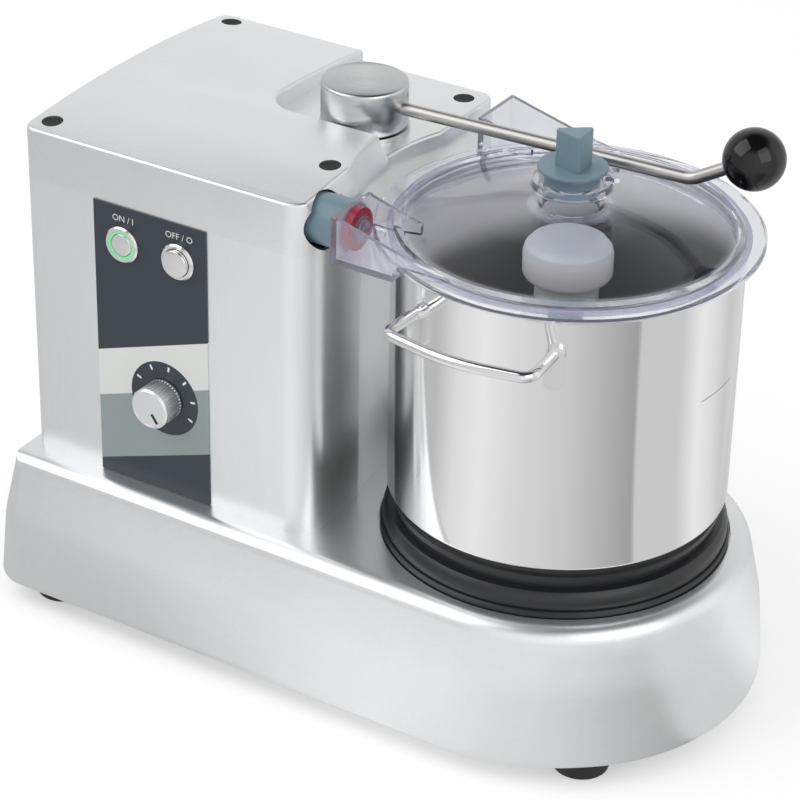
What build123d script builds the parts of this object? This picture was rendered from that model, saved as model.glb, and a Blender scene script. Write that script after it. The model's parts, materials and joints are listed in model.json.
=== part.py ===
"""Meat bowl cutter as separate solids, one STEP file per node. Millimetres, +Z up.

The origin is on the floor under the middle of the machine. +X runs along the machine from the motor
column to the bowl, +Y points to the back. Every moving piece is drawn at rest: bowl locked, lid on,
lever over the lid.
"""
import os
from math import atan, cos, degrees, radians, sin, sqrt
from build123d import *

# Running and seating gaps
move_gap = 0.4            # between pieces that move apart
run_gap = 0.05            # radial gap of a shaft in its bush
fit_gap = 0.15            # easy gap between still pieces

# Base casting
bowl_x = 110.0            # bowl axis
deck_z = 110.0            # top face of the base
base_z = 12.0             # under face of the base
deck_half = 127.0         # half width at the deck, also the radius of the round end
deck_left = -237.0        # left end at the deck
waist_z = 66.0            # height where the wall gets steeper
waist_flare = 9.8         # how far the walls spread from the deck to there
base_flare = 14.6         # how far they spread by the under face
waist_round = 90.0        # rounding between the two slopes
base_corner = 10.0        # corner radius at the deck
base_edge = 8.0           # rounding of the lower edge
deck_edge = 12.0          # rounding of the front, back and right deck edges
left_edge = 2.0           # rounding of the deck edge beside the column
deck_thick = 7.0
base_wall = 6.0
cavity_spread = 7.0       # how much wider the cavity is at its mouth
seat_recess = 3.0         # depth of the recess that holds the bowl seat
cover_thick = 3.0

# Feet
foot_r = 20.5
foot_taper = 12.0         # degrees
foot_left = (-212.0, 108.0)
foot_right = (184.0, 88.0)
foot_screw_r = 3.0

# Motor column
col_left, col_right = -231.0, -12.0
col_front, col_back = -107.5, 119.0
col_small_r = 9.0         # left corners
col_big_r = 20.0          # right front corner
col_back_r = 10.0         # right back corner
scoop_r = 131.0           # hollow in the right face, round the bowl
shell_wall = 3.0
seam_z = 310.0            # joint between the shell and the cap
cap_wall = 5.0

# Top cap
crown_z = 351.3           # highest line of the crowned top
crown_drop = 6.3          # how much lower its front and back edges are
well_left = -117.0        # left wall of the lever recess
well_front = -2.0         # front wall of the lever recess
well_z = 338.0            # floor of the recess
well_r = 24.0             # its inner corner
well_end_r = 4.0          # its corner above the bowl
cap_edge = 2.2            # rounding of the top edges
slope_z = 331.0           # the right side of the high part leans in from here up
slope_in = 9.0            # how far it leans in by the crown
plug_r = 7.0
plug_thick = 4.0
plug_wall = 4.0           # of the screw columns round them
plug_spots = ((-217.0, -93.0), (-216.0, 106.0), (-31.0, -54.0))
low_plug_spot = (-27.4, 102.4)
rod_r = 5.5               # tie rods under the plugs
cap_screw_r = 3.0
cap_head_r = 5.2
cap_head_h = 4.0

# Control panel
panel_left, panel_right = -174.5, -87.5
panel_thick = 1.0
button_z = 284.0
on_x, off_x = -151.2, -108.0
bezel_r = 12.5
bezel_h = 3.5
button_hole_r = 11.0
cap_r = 7.6               # ON button cap
off_cap_r = 9.4
ring_r = 10.0             # outside of the lit ring
knob_x, knob_z = -122.0, 180.0
knob_r = 14.0
knob_len = 17.0
knurls = 40

# Lever
hub_x, hub_y = -58.0, 28.0
hub_r = 28.5
hub_top = 371.5
flange_r = 29.7
flange_h = 3.0
arm_z = 357.0
arm_r = 4.2
arm_slope = 0.055         # the arm points slightly to the back
arm_bend_x = 171.2
ball_x, ball_z = 210.4, 379.6
ball_r = 19.5
arm_bend_r = 22.0
lever_shaft_r = 7.0
cam_r = 16.0
cam_z = 304.0

# Speed drive
drive_x = -54.0           # left face of the drive, where its board lies
board_top = 220.0

# Bowl and seat
bowl_r = 110.0
bowl_z = 141.0            # under face of the bowl
bowl_h = 178.0
bowl_wall = 1.5
seat_r = 113.5
tube_r = 15.5             # outside of the centre tube
tube_top = 225.0
skirt_r = 54.0            # bayonet skirt under the bowl
lug_r = 66.0
lug_turn = 25.0           # how far the bowl turns to come free

# Bowl handles
handle_z = 295.0
handle_half = 49.0
handle_out = 141.0        # how far out the middle of the grip is
handle_bow = 9.0
handle_rod = 3.6
handle_corner = 13.0
pad_w, pad_h, pad_t = 13.0, 27.0, 2.8

# Lid
lid_r = 121.4
lid_z = 321.0             # under face of the rim
lid_rim = 5.0
window_r = 104.0
bead_w = 5.0
bead_top = 329.0
dome_top = 341.0          # top of the window at the neck
sheet = 4.0
neck_r = 20.8
neck_in = 17.9
neck_top = 363.6
collar_r = 25.6
collar_z0, collar_z1 = 351.0, 357.5
ear_face_x = 5.0
ear_y0, ear_y1 = 66.0, 109.0
ear_z0, ear_z1 = 315.0, 346.0
ear_wall = 3.0
ear_end_x = 49.3
boss_y, boss_z = -82.0, 328.5
boss_r = 16.4
boss_x0 = -25.0
pocket_r = 18.6
magnet_r, magnet_in = 13.5, 6.5

# Feed plug
disc_r = 21.8
disc_z = 364.0
disc_h = 2.2
stem_r = 17.4
stem_z = 351.0
grip_top = 390.0

# Rotor
rotor_z = 146.0
rotor_hub_r = 20.5
rotor_bore = 16.3
knob_top_z, knob_low_z = 315.0, 286.0
rotor_knob_r = 28.3
blade_r = 103.0
blade_t = 2.5
blade_ring = 5.5
drive_flat = 5.5          # half width across the drive flats
drive_r = 7.5

# Drive
shaft_r = 8.5
post_r = 13.0
post_top = 215.0
post_flange = 44.0
housing_r = 24.0
bearing_r = 17.5
bearing_h = 10.0
pulley_z, pulley_h = 36.0, 24.0
big_pulley_r, small_pulley_r = 52.0, 26.0
belt_t = 4.0
motor_x, motor_y = -125.0, 5.0
motor_r = 56.0
motor_z0, motor_z1 = 116.0, 268.0
motor_end_z = 284.0
motor_shaft_r = 9.0
motor_fins = 28

os.makedirs("parts", exist_ok=True)
nodes = {}


# ---- small helpers ------------------------------------------------------------------------------

def rod(r, z0, z1, x=0.0, y=0.0):
    """Upright cylinder between two heights."""
    return Pos(x, y, z0) * extrude(Circle(r), z1 - z0)


def tube(r, r_in, z0, z1, x=0.0, y=0.0):
    """Upright tube between two heights."""
    return Pos(x, y, z0) * extrude(Circle(r) - Circle(r_in), z1 - z0)


def box(x0, x1, y0, y1, z0, z1):
    """Block given by its six faces."""
    size = Box(x1 - x0, y1 - y0, z1 - z0)
    return Pos((x0 + x1) / 2, (y0 + y1) / 2, (z0 + z1) / 2) * size


def y_rod(r, y0, y1, x, z, r_in=0.0):
    """Cylinder or tube along Y."""
    face = Circle(r) - Circle(r_in) if r_in else Circle(r)
    return Pos(x, y1, z) * Rot(90, 0, 0) * extrude(face, y1 - y0)


def x_rod(r, x0, x1, y, z, r_in=0.0):
    """Cylinder or tube along X."""
    face = Circle(r) - Circle(r_in) if r_in else Circle(r)
    return Pos(x0, y, z) * Rot(0, 90, 0) * extrude(face, x1 - x0)


def turned(points, x=bowl_x, y=0.0):
    """Solid of revolution about an upright axis from (radius, height) points."""
    edges = Polyline(*[(r, 0, z) for r, z in points], close=True)
    return Pos(x, y, 0) * revolve(make_face(edges), Axis.Z, 360)


def around(shape, count, x=bowl_x, y=0.0, start=0.0):
    """Copies of a shape drawn about the origin, spread evenly about an upright axis."""
    step = 360.0 / count
    return [Pos(x, y, 0) * Rot(0, 0, start + step * i) * shape for i in range(count)]


def keep(name, shape):
    """Store a node."""
    nodes[name] = Compound(children=list(shape)) if isinstance(shape, list) else shape


# ---- base ---------------------------------------------------------------------------------------

def base_outline(grow, left=deck_left):
    """Outline of the base at the deck, grown outwards."""
    half = deck_half + grow
    x0 = left - grow
    block = Pos((x0 + bowl_x) / 2, 0) * Rectangle(bowl_x - x0, 2 * half)
    corners = block.vertices().group_by(Axis.X)[0]
    block = fillet(corners, base_corner + max(grow, 0.0))
    return block + Pos(bowl_x, 0) * Circle(half)


def base_block(left, edge):
    """Solid base with convex walls: gently sloped below the waist, more above it."""
    low_h, high_h = waist_z - base_z, deck_z - waist_z
    low_taper = degrees(atan((base_flare - waist_flare) / low_h))
    high_taper = degrees(atan(waist_flare / high_h))
    body = Pos(0, 0, base_z) * extrude(base_outline(base_flare, left), low_h, taper=low_taper)
    body += Pos(0, 0, waist_z) * extrude(base_outline(waist_flare, left), high_h, taper=high_taper)
    waist = [e for e in body.edges() if all(abs(v.Z - waist_z) < 0.01 for v in e.vertices())]
    body = fillet(waist, waist_round)
    body = fillet(body.edges().group_by(Axis.Z)[0], base_edge)
    return fillet(body.edges().group_by(Axis.Z)[-1], edge)


def base_casting():
    """Casting with a round end and softly rounded deck, open underneath."""
    body = block = base_block(deck_left, left_edge) & base_block(deck_left - 60, deck_edge)
    depth = deck_z - base_z - deck_thick
    draft = degrees(atan(cavity_spread / depth))
    mouth = base_outline(cavity_spread - base_wall)
    body -= Pos(0, 0, base_z) * extrude(mouth, depth, taper=draft)
    body -= rod(seat_r + 1.0, deck_z - seat_recess, deck_z + 1, bowl_x)
    body -= rod(housing_r + fit_gap, base_z, deck_z, bowl_x)
    body -= rod(motor_shaft_r + 5, base_z, deck_z + 1, motor_x, motor_y)
    for x, y in foot_spots():
        boss = rod(foot_r - 3, base_z, base_z + 30, x, y)
        if x < 0:
            boss += box(x - 40, x, y - 4, y + 4, base_z + 6, base_z + 28)
        body += boss & block
        body -= rod(foot_screw_r, base_z - 1, base_z + 20, x, y)
    body -= rod(6, deck_z - 20, deck_z + 1, -200, 60)
    return body


def foot_spots():
    """Centres of the four feet."""
    spots = []
    for x, y in (foot_left, foot_right):
        spots += [(x, y), (x, -y)]
    return spots


def rubber_foot(x, y):
    """Tapered rubber foot with a recess for its screw head."""
    body = Pos(x, y, base_z) * Rot(180, 0, 0) * extrude(Circle(foot_r), base_z, taper=foot_taper)
    body = fillet(body.edges().group_by(Axis.Z)[0], 1.2)
    body -= rod(foot_screw_r + fit_gap, -1, base_z + 1, x, y)
    return body - rod(6.5, -1, 5, x, y)


def foot_screw(x, y):
    """Pan head screw that holds a foot."""
    return rod(6.0, 2.0, 5.0, x, y) + rod(foot_screw_r - fit_gap, 5.0, base_z + 18, x, y)


def base_cover():
    """Flat plate that closes the base, notched round the foot bosses."""
    plate = Pos(0, 0, base_z + 1) * extrude(base_outline(cavity_spread - base_wall - 1), cover_thick)
    for x, y in foot_spots():
        plate -= rod(foot_r - 2, 0, 60, x, y)
    return plate


# ---- column -------------------------------------------------------------------------------------

def column_outline(inset=0.0):
    """Plan of the column, inset evenly, hollowed on the right round the bowl."""
    x0, x1 = col_left + inset, col_right - inset
    y0, y1 = col_front + inset, col_back - inset
    plan = Pos((x0 + x1) / 2, (y0 + y1) / 2) * Rectangle(x1 - x0, y1 - y0)
    left = plan.vertices().group_by(Axis.X)[0]
    plan = fillet(left, max(col_small_r - inset, 1.0))
    front = plan.vertices().group_by(Axis.X)[-1].sort_by(Axis.Y)[0]
    plan = fillet(front, col_big_r - inset)
    back = plan.vertices().group_by(Axis.X)[-1].sort_by(Axis.Y)[-1]
    plan = fillet(back, col_back_r - inset)
    return plan - Pos(bowl_x, 0) * Circle(scoop_r + inset)


def pocket():
    """Round pocket in the column's right face, behind the lid sensor."""
    return x_rod(pocket_r, boss_x0, col_right + 30, boss_y - 1.8, boss_z)


def housing_shell():
    """Sheet metal column between the base and the cap."""
    body = Pos(0, 0, deck_z) * extrude(column_outline() - column_outline(shell_wall), seam_z - deck_z)
    for x in (on_x, off_x):
        body -= y_rod(button_hole_r, col_front - 1, col_front + 10, x, button_z)
    body -= y_rod(5.0, col_front - 1, col_front + 10, knob_x, knob_z)
    body -= y_rod(8.2, col_back - 10, col_back + 1, motor_x, deck_z + 30)
    return body


def upper_outline(inset=0.0):
    """Plan of the high part of the cap, beside the lever recess."""
    plan = column_outline(inset)
    x0, y0 = well_left - inset, well_front - inset
    well = Pos((x0 + 60) / 2, (y0 + 200) / 2) * Rectangle(60 - x0, 200 - y0)
    well_corner = [v for v in well.vertices() if v.X < 0 and v.Y < 50]
    well = fillet(well_corner, well_r + inset)
    plan = plan - well
    corner = [v for v in plan.vertices() if v.X > well_left + 40 and abs(v.Y - y0) < 1]
    return fillet(corner, well_end_r)


def crown():
    """Large cylinder along X that gives the cap its gently arched top."""
    half = (col_back - col_front) / 2
    radius = (half * half + crown_drop * crown_drop) / (2 * crown_drop)
    middle = (col_back + col_front) / 2
    return x_rod(radius, col_left - 20, col_right + 20, middle, crown_z - radius), radius


def crown_height(y):
    """Height of the arched top at a given Y."""
    radius = crown()[1]
    middle = (col_back + col_front) / 2
    return crown_z - radius + sqrt(radius ** 2 - (y - middle) ** 2)


def side_slope(y1):
    """What leans off the right side up to y1: a flat wedge, and a cone round the bowl."""
    height = crown_z + 2 - slope_z
    y0, x2 = col_front - 5, col_right + 20
    points = [(col_right, slope_z), (col_right - slope_in, slope_z + height)]
    points += [(x2, slope_z + height), (x2, slope_z)]
    face = Plane.XZ * make_face(Polyline(*points, close=True))
    flat = Pos(0, y1, 0) * extrude(face, y1 - y0)
    cone = Pos(bowl_x, 0, slope_z + height / 2) * Cone(scoop_r, scoop_r + slope_in, height)
    return flat + (cone & box(-100, x2, y0, y1, slope_z, slope_z + height))


def cap_body():
    """Cast cap: crowned high part, lower floor with the lever recess, rounded edges."""
    low = Pos(0, 0, seam_z) * extrude(column_outline(), well_z - seam_z)
    low = fillet(low.faces().sort_by(Axis.Z)[-1].edges(), cap_edge)
    high = Pos(0, 0, seam_z) * extrude(upper_outline(), 60)
    high = (high & crown()[0]) - side_slope(col_back)
    top = high.faces().sort_by(Axis.Z)[-1]
    high = fillet(top.edges(), cap_edge)
    return (low - side_slope(well_front)) + high


def top_cap():
    """Cap hollowed from below, with screw columns, the lever bush boss and the sensor pocket."""
    body = cap_body()
    body -= Pos(0, 0, seam_z - 1) * extrude(column_outline(cap_wall), well_z - cap_wall - seam_z + 1)
    body -= Pos(0, 0, seam_z - 1) * extrude(upper_outline(cap_wall), crown_z - seam_z - 11)
    for x, y in plug_spots:
        top = crown_height(y)
        body += rod(plug_r + plug_wall, seam_z, top - 4, x, y)
        body -= rod(plug_r, well_z, top + 2, x, y)
        body -= rod(cap_screw_r + fit_gap, seam_z - 1, top, x, y)
        body -= rod(rod_r + fit_gap, seam_z - 1, well_z - 12, x, y)
    x, y = low_plug_spot
    body += rod(plug_r + plug_wall, seam_z, well_z - 3, x, y)
    body -= rod(plug_r, well_z - 9, well_z + 2, x, y)
    body -= rod(cap_screw_r + fit_gap, seam_z - 1, well_z, x, y)
    body -= rod(rod_r + fit_gap, seam_z - 1, well_z - 20, x, y)
    pad = x_rod(pocket_r + 2, boss_x0 - 5, col_right - 2, boss_y - 1.8, boss_z)
    body += pad & (Pos(0, 0, seam_z) * extrude(column_outline(1), 30))
    body -= pocket()
    body += rod(13.5, well_z - 15, well_z - 2, hub_x, hub_y)
    return body - rod(10.0, seam_z, well_z + 1, hub_x, hub_y)


def cap_plug(x, y, top):
    """Round plastic plug, slightly dished."""
    body = rod(plug_r - fit_gap, top - plug_thick, top - 0.3, x, y)
    edge = body.edges().group_by(Axis.Z)[-1]
    body = chamfer(edge, 0.6)
    return body - Pos(x, y, top + 30 - 0.9) * Sphere(30)


def cap_screw(x, y, seat):
    """Screw from the cap into its tie rod."""
    return rod(cap_head_r, seat, seat + cap_head_h, x, y) + rod(cap_screw_r, seat - 24, seat, x, y)


def tie_rod(x, y, top):
    """Pillar between the deck and the cap, tapped at the top."""
    return rod(rod_r, deck_z, top, x, y) - rod(cap_screw_r, top - 20, top + 1, x, y)


# ---- controls -----------------------------------------------------------------------------------

panel_y = col_front - panel_thick


def control_panel():
    """Flat front plate with holes for the controls."""
    body = box(panel_left, panel_right, panel_y, col_front, deck_z + 0.5, seam_z - 0.5)
    for x in (on_x, off_x):
        body -= y_rod(button_hole_r, panel_y - 1, col_front + 1, x, button_z)
    return body - y_rod(5.0, panel_y - 1, col_front + 1, knob_x, knob_z)


def bezel(x, hole):
    """Round metal bezel with its threaded barrel."""
    lip = y_rod(bezel_r, panel_y - bezel_h, panel_y, x, button_z)
    lip = chamfer(lip.edges().group_by(Axis.Y)[0], 1.0)
    barrel = y_rod(button_hole_r - fit_gap, panel_y, col_front + 20, x, button_z)
    body = lip + barrel
    return body - y_rod(hole, panel_y - bezel_h - 1, col_front + 30, x, button_z)


def button_cap(x, r, proud):
    """Pressable cap with a rounded edge."""
    face = panel_y - bezel_h - proud
    body = y_rod(r, face, col_front + 14, x, button_z)
    return fillet(body.edges().group_by(Axis.Y)[0], 0.8)


def contact_block(x):
    """Switch block clipped behind a button."""
    y0 = col_front + 20
    body = box(x - 11, x + 11, y0, y0 + 22, button_z - 14, button_z + 14)
    for side in (-1, 1):
        body += box(x + side * 6 - 2, x + side * 6 + 2, y0 + 22, y0 + 28, button_z - 5, button_z + 5)
    return body


def speed_knob():
    """Knurled aluminium knob."""
    y0, y1 = panel_y - knob_len - 0.8, panel_y - 0.8
    body = y_rod(knob_r, y0, y1, knob_x, knob_z)
    body = chamfer(body.edges().group_by(Axis.Y)[0], 1.2)
    groove = Rot(0, 0, 45) * Rectangle(0.9, 0.9)
    cuts = []
    for i in range(knurls):
        turn = radians(360 / knurls * i)
        spot = Pos(knob_r * cos(turn), knob_r * sin(turn)) * Rot(0, 0, degrees(turn)) * groove
        cuts.append(spot)
    tool = Pos(knob_x, y1 - 1, knob_z) * Rot(90, 0, 0) * extrude(Sketch() + cuts, knob_len - 3)
    body -= tool
    body -= y_rod(knob_r - 2.0, y0 - 1, y0 + 0.4, knob_x, knob_z)
    return body - pointer_bar() - y_rod(3.0, y0 + 4, y1 + 1, knob_x, knob_z)


def pointer_bar():
    """Black pointer line on the face."""
    y0 = panel_y - knob_len - 0.8
    bar = box(-0.8, 0.8, y0 + 0.1, y0 + 1.0, -11, -3.5)
    return Pos(knob_x, 0, knob_z) * Rot(0, -35, 0) * bar


def pot_body():
    """Speed potentiometer behind the panel, with its threaded bush and nut."""
    body = y_rod(12, col_front + shell_wall, col_front + shell_wall + 12, knob_x, knob_z)
    body += y_rod(4.8, col_front - 0.5, col_front + shell_wall, knob_x, knob_z)
    body += box(knob_x - 8, knob_x + 8, col_front + 5, col_front + 12, knob_z - 20, knob_z - 10)
    return body - y_rod(3.0 + run_gap, col_front - 5, col_front + 14, knob_x, knob_z)


def pot_shaft():
    """Shaft from the potentiometer into the knob."""
    return y_rod(3.0, panel_y - knob_len + 3.2, col_front + 13, knob_x, knob_z)


# ---- lever --------------------------------------------------------------------------------------

def lever_hub():
    """Brushed round hub, bored for the shaft and the arm."""
    body = rod(hub_r, well_z + flange_h + move_gap, hub_top, hub_x, hub_y)
    body = chamfer(body.edges().group_by(Axis.Z)[-1], 1.5)
    body = chamfer(body.edges().group_by(Axis.Z)[0], 0.8)
    body -= rod(lever_shaft_r, well_z, hub_top - 6, hub_x, hub_y)
    return body - arm_path_solid(arm_r + fit_gap / 5) - arm_dimple()


def arm_dimple():
    """Countersink where the arm leaves the hub."""
    start = Pos(hub_x + hub_r - 2.2, hub_y + arm_slope * hub_r, arm_z)
    return start * Rot(0, 90, 0) * Cone(arm_r, arm_r + 2.6, 4.0)


def arm_points():
    """Centre line of the arm: out of the hub, straight over the lid, then up to the ball."""
    def on_line(x, z):
        return (x, hub_y + arm_slope * (x - hub_x), z)
    rise = (ball_z - arm_z) / (ball_x - arm_bend_x)
    end_x = ball_x - 9.0
    return [on_line(hub_x + 11, arm_z), on_line(arm_bend_x, arm_z),
            on_line(end_x, arm_z + rise * (end_x - arm_bend_x))]


def arm_path_solid(r):
    """Round bar along the arm's centre line."""
    path = FilletPolyline(*arm_points(), radius=arm_bend_r)
    start = arm_points()[0]
    plane = Plane(origin=start, z_dir=(1, arm_slope, 0))
    return sweep(plane * Circle(r), path=path)


def ball_knob():
    """Black ball screwed on the end of the arm."""
    y = hub_y + arm_slope * (ball_x - hub_x)
    return Pos(ball_x, y, ball_z) * Sphere(ball_r) - arm_path_solid(arm_r)


def lever_bush():
    """Bronze bush in the cap."""
    bush = tube(10.0 - 0.0, lever_shaft_r + run_gap, well_z - 15, well_z, hub_x, hub_y)
    return bush


def safety_cam():
    """Cam disc with one flat that lets the switch open."""
    body = rod(cam_r, cam_z, cam_z + 6, hub_x, hub_y)
    body += tube(11, lever_shaft_r, cam_z + 6, cam_z + 14, hub_x, hub_y)
    body -= box(hub_x + 8, hub_x + 20, hub_y - 20, hub_y + 20, cam_z - 1, cam_z + 6.01)
    return body - rod(lever_shaft_r, cam_z - 1, cam_z + 20, hub_x, hub_y)


def safety_switch():
    """Microswitch with its plunger near the cam."""
    z = cam_z + 3
    body = box(hub_x - 14, hub_x + 14, well_front - 2, well_front + 10, z - 7, z + 7)
    return body + y_rod(2.0, well_front + 10, hub_y - cam_r - 0.6, hub_x, z)


def switch_bracket():
    """Plate that hangs the switch from the cap."""
    return box(hub_x - 16, hub_x + 16, well_front - 4.5, well_front - 2, cam_z - 6, well_z - cap_wall)


# ---- inner units --------------------------------------------------------------------------------

def motor_body():
    """Motor with cooling fins along its side and a rounded end shield."""
    body = rod(motor_r - 4, motor_z0, motor_end_z, motor_x, motor_y)
    body = fillet(body.edges().group_by(Axis.Z)[-1], 6)
    body -= rod(motor_shaft_r + 3, motor_z0 - 1, motor_end_z - 4, motor_x, motor_y)
    fin = Pos(motor_r - 3, 0, (motor_z0 + motor_z1) / 2) * Box(6, 2, motor_z1 - motor_z0 - 16)
    return body + around(fin, motor_fins, motor_x, motor_y)


def motor_plate():
    """Steel plate that carries the motor on the deck."""
    body = box(motor_x - 70, motor_x + 70, motor_y - 65, motor_y + 65, deck_z, motor_z0)
    body = fillet(body.edges().filter_by(Axis.Z), 8)
    return body - rod(motor_shaft_r + 5, deck_z - 1, motor_z0 + 1, motor_x, motor_y)


def plate_bolt(x, y):
    """Hex bolt on the motor plate."""
    return Pos(x, y, motor_z0) * extrude(RegularPolygon(6, 6), 5)


def pulley(r, x, y, bore, hub):
    """Ribbed pulley with edge flanges."""
    z0, z1 = pulley_z, pulley_z + pulley_h
    pts = [(bore, z0), (r + 3, z0), (r + 3, z0 + 2), (r, z0 + 3)]
    pts += [(r, z1 - 3), (r + 3, z1 - 2), (r + 3, z1), (hub, z1), (hub, z1 + 3), (bore, z1 + 3)]
    return turned(pts, x, y)


def belt_loop():
    """Flat belt round both pulleys."""
    gap = move_gap
    inner = make_hull_loop(gap)
    outer = make_hull_loop(gap + belt_t)
    return Pos(0, 0, pulley_z + 4) * extrude(outer - inner, pulley_h - 8)


def make_hull_loop(grow):
    """Outline round both pulleys at a distance from them."""
    big = Pos(bowl_x, 0) * Circle(big_pulley_r + grow)
    small = Pos(motor_x, motor_y) * Circle(small_pulley_r + grow)
    return make_hull(big.edges() + small.edges())


def control_board():
    """Circuit board with its larger parts, on the side of the speed drive."""
    x = drive_x
    body = box(x - 1.6, x, -36, 56, 140, board_top)
    body += box(x - 8, x - 1.6, -30, -5, 150, 180)
    body += box(x - 7, x - 1.6, 20, 45, 190, 210)
    for i in range(4):
        body += x_rod(4, x - 8, x - 1.6, -10 + 12 * i, 150)
    return body


def drive_unit():
    """Speed drive with a finned back plate; the fins follow the shell wall."""
    z0, z1 = board_top - 85, board_top + 5
    body = box(drive_x, drive_x + 22, -38, 58, z0, z1)
    room = Pos(0, 0, z0) * extrude(column_outline(shell_wall), z1 - z0)
    for i in range(9):
        body += box(drive_x + 22, col_right, -36 + 11 * i, -33 + 11 * i, z0, z1) & room
    return body


def cable_gland():
    """Gland for the mains cable on the back of the column."""
    z = deck_z + 30
    body = y_rod(8.0, col_back - shell_wall - 5, col_back, motor_x, z)
    nut = Pos(motor_x, col_back + 7, z) * Rot(90, 0, 0) * extrude(RegularPolygon(12, 6), 7)
    dome = y_rod(10.0, col_back + 7, col_back + 17, motor_x, z)
    dome = fillet(dome.edges().group_by(Axis.Y)[-1], 4)
    return body + nut + dome - y_rod(4.0, col_back - 20, col_back + 30, motor_x, z)


# ---- spindle ------------------------------------------------------------------------------------

def spindle_housing():
    """Bearing housing under the deck with a flange and the post that stands in the bowl's tube."""
    z0 = deck_z - seat_recess
    flange = rod(post_flange, z0, z0 + 6, bowl_x)
    body = rod(housing_r, pulley_z + pulley_h + 6, z0, bowl_x) + flange
    body += rod(post_r, z0, post_top, bowl_x)
    body = chamfer(body.edges().group_by(Axis.Z)[-1], 1.0)
    body -= rod(shaft_r + 1.5, 0, post_top + 1, bowl_x)
    body -= rod(bearing_r, 0, pulley_z + pulley_h + 6 + bearing_h + 4, bowl_x)
    body -= rod(bearing_r, z0 - bearing_h - 3, z0 + 3, bowl_x)
    for spot in around(Pos(34, 0, 0) * rod(3.2, z0 - 1, z0 + 8), 4, start=45):
        body -= spot
    return body


def bearings():
    """Two ball bearings on the spindle."""
    low = pulley_z + pulley_h + 8
    high = deck_z - seat_recess - bearing_h
    return [tube(bearing_r, shaft_r + run_gap, z, z + bearing_h, bowl_x) for z in (low, high)]


def spindle_bolts():
    """Four bolts through the housing flange."""
    z = deck_z - seat_recess + 6
    bolt = rod(5.0, z, z + 4) + rod(3.0, z - 6, z)
    return around(Pos(34, 0, 0) * bolt, 4, start=45)


def drive_shaft():
    """Stepped spindle with two drive flats at the top."""
    body = rod(shaft_r, pulley_z - 2, 232, bowl_x)
    return body + drive_end(drive_r, drive_flat, 232, 284)


def drive_end(r, flat, z0, z1):
    """Round bar with two flats."""
    return rod(r, z0, z1, bowl_x) & box(bowl_x - flat, bowl_x + flat, -r, r, z0, z1)


def rotor_hub():
    """Moulded rotor hub with its rounded lifting knob."""
    body = rod(rotor_hub_r, rotor_z, knob_low_z + 3, bowl_x)
    head = rod(rotor_knob_r, knob_low_z, knob_top_z, bowl_x)
    head = fillet(head.edges().group_by(Axis.Z)[-1], 9)
    head = fillet(head.edges().group_by(Axis.Z)[0], 5)
    body += head
    body -= rod(rotor_bore, rotor_z - 1, 234, bowl_x)
    return body - drive_end(drive_r + move_gap, drive_flat + move_gap, 233, 286)


def blade(z, start):
    """Two curved wings on a collar round the rotor hub."""
    collar = tube(rotor_hub_r + blade_ring, rotor_hub_r, z, z + 8, bowl_x)
    back = ThreePointArc((14, 19), (66, 30), (blade_r, 0))
    edge = ThreePointArc((blade_r, 0), (60, 9), (22, -6))
    wing = make_face(Wire([back, edge, Line((22, -6), (14, 19))]))
    wing = Pos(0, 0, z + 2) * extrude(wing, blade_t)
    body = collar
    for part in around(wing, 2, start=start):
        body += part
    return body - rod(rotor_hub_r, z - 1, z + 9, bowl_x)


# ---- bowl ---------------------------------------------------------------------------------------

def bowl():
    """Deep drawn bowl with a rolled rim and a hole for the centre tube."""
    r, t = bowl_r, bowl_wall
    z0, z1 = bowl_z, bowl_z + bowl_h
    pts = [(tube_r - 1.5, z0), (r - 4, z0), (r - 1.2, z0 + 1.2), (r, z0 + 4), (r, z1 - 4)]
    pts += [(r + 2, z1 - 3), (r + 2, z1 - 0.8), (r + 1, z1), (r - t, z1), (r - t, z0 + 4.5)]
    pts += [(r - t - 1, z0 + t + 1), (r - 5, z0 + t), (tube_r - 1.5, z0 + t)]
    return turned(pts)


def bowl_tube():
    """Centre tube welded into the bowl, outside the spindle post."""
    body = tube(tube_r, tube_r - 1.5, bowl_z + bowl_wall, tube_top, bowl_x)
    return body


def bayonet_skirt():
    """Skirt under the bowl with three lugs."""
    body = tube(skirt_r, skirt_r - 3, bowl_z - 14, bowl_z, bowl_x)
    lug = tube(lug_r, skirt_r - 1, bowl_z - 14, bowl_z - 10) & wedge(9.0, 90)
    for part in around(lug, 3):
        body += part
    return body


def wedge(half_angle, r):
    """Upright wedge about +X for cutting ring sectors."""
    dy = r * sin(radians(half_angle))
    dx = r * cos(radians(half_angle))
    face = make_face(Polyline((0, 0), (dx, -dy), (r * 1.2, 0), (dx, dy), close=True))
    return extrude(face, 400)


def bowl_seat():
    """Black stepped ring that carries the bowl, with slots for the bayonet lugs."""
    z0 = deck_z - seat_recess
    top = bowl_z - move_gap
    lip_z = bowl_z - 8
    lip_in = skirt_r + 3
    pts = [(lug_r + 6, z0), (seat_r, z0), (seat_r, z0 + 6.0), (seat_r - 1.0, z0 + 7.0)]
    pts += [(seat_r - 2.2, z0 + 7.0), (seat_r - 1.6, z0 + 9.0), (seat_r - 1.6, z0 + 13.0)]
    pts += [(seat_r - 2.6, z0 + 16.5), (seat_r - 5.0, z0 + 19.0), (seat_r - 9.5, z0 + 20.0)]
    pts += [(seat_r - 9.5, z0 + 24.0), (seat_r - 7.5, z0 + 25.0), (seat_r - 7.5, z0 + 28.5)]
    pts += [(seat_r - 9.5, z0 + 29.5), (seat_r - 9.5, top - 1.0)]
    pts += [(seat_r - 10.5, top), (lug_r + 6, top), (lip_in, top - 2), (lip_in, lip_z), (lug_r + 6, lip_z)]
    body = turned(pts)
    slot = rod(lug_r + 1.5, lip_z - 2, top + 1) & wedge(11.5, 90)
    for part in around(slot, 3, start=lug_turn):
        body -= part
    return body


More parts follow.
